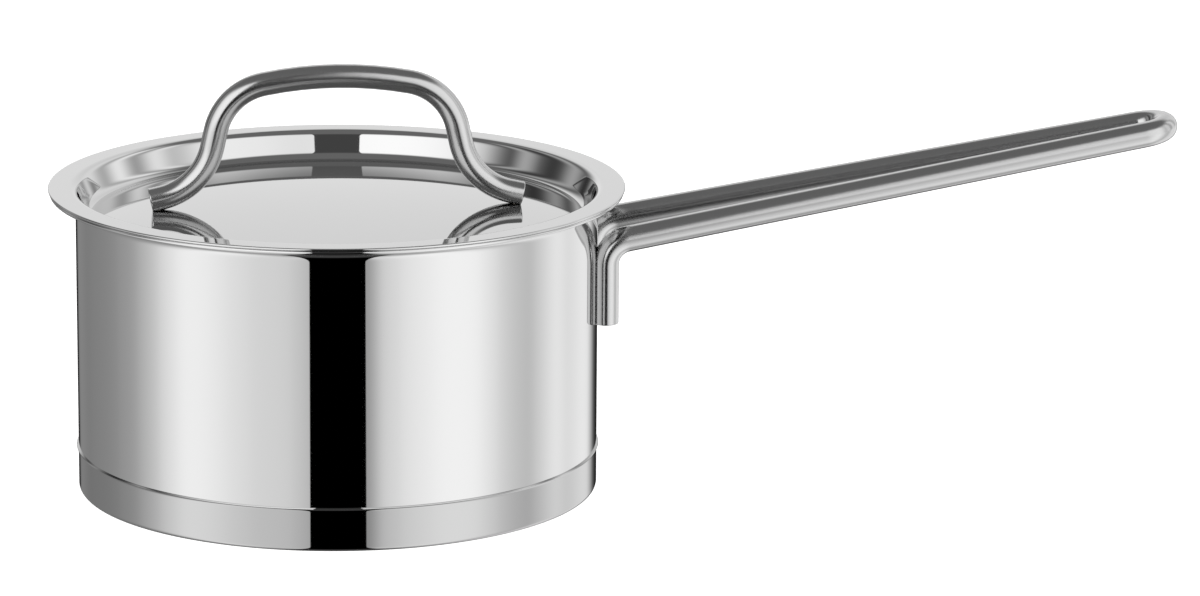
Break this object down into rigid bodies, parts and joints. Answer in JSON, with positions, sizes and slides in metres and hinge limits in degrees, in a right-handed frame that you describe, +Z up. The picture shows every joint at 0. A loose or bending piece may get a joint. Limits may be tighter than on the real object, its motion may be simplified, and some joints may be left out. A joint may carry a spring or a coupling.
{
  "type": "saucepan with lid",
  "caption": "Lidded saucepan: straight-sided pan with a flared pouring rim and encapsulated base, long looped rod handle, and a sunk metal lid with a bridge-shaped rod grip.",
  "frame": {"origin": "centre of the flat underside of the base", "axes": "+Z up along the pan's axis, +X along the long handle away from the pan"},
  "size_m": [0.3533, 0.1784, 0.1331],
  "materials": {
    "polished_stainless": "mirror-polished outside, satin inside",
    "base_stainless": "mirror-polished side, turned underside",
    "lid_stainless": "mirror-polished",
    "handle_stainless": "polished drawn rod",
    "weld_metal": "fused steel",
    "aluminium_core": "rolled disc"
  },
  "bodies": {
    "pan": {"pan_body": "polished_stainless", "base_core": "aluminium_core", "base_cap": "base_stainless", "pan_handle": "handle_stainless", "pan_handle_welds": "weld_metal"},
    "lid": {"lid": "lid_stainless", "lid_handle": "handle_stainless", "lid_handle_welds": "weld_metal"}
  },
  "joints": [
    {"name": "lid_lift", "type": "slide", "parent": "pan", "child": "lid", "axis": [0, 0, 1], "range_m": [0, 0.12]}
  ]
}
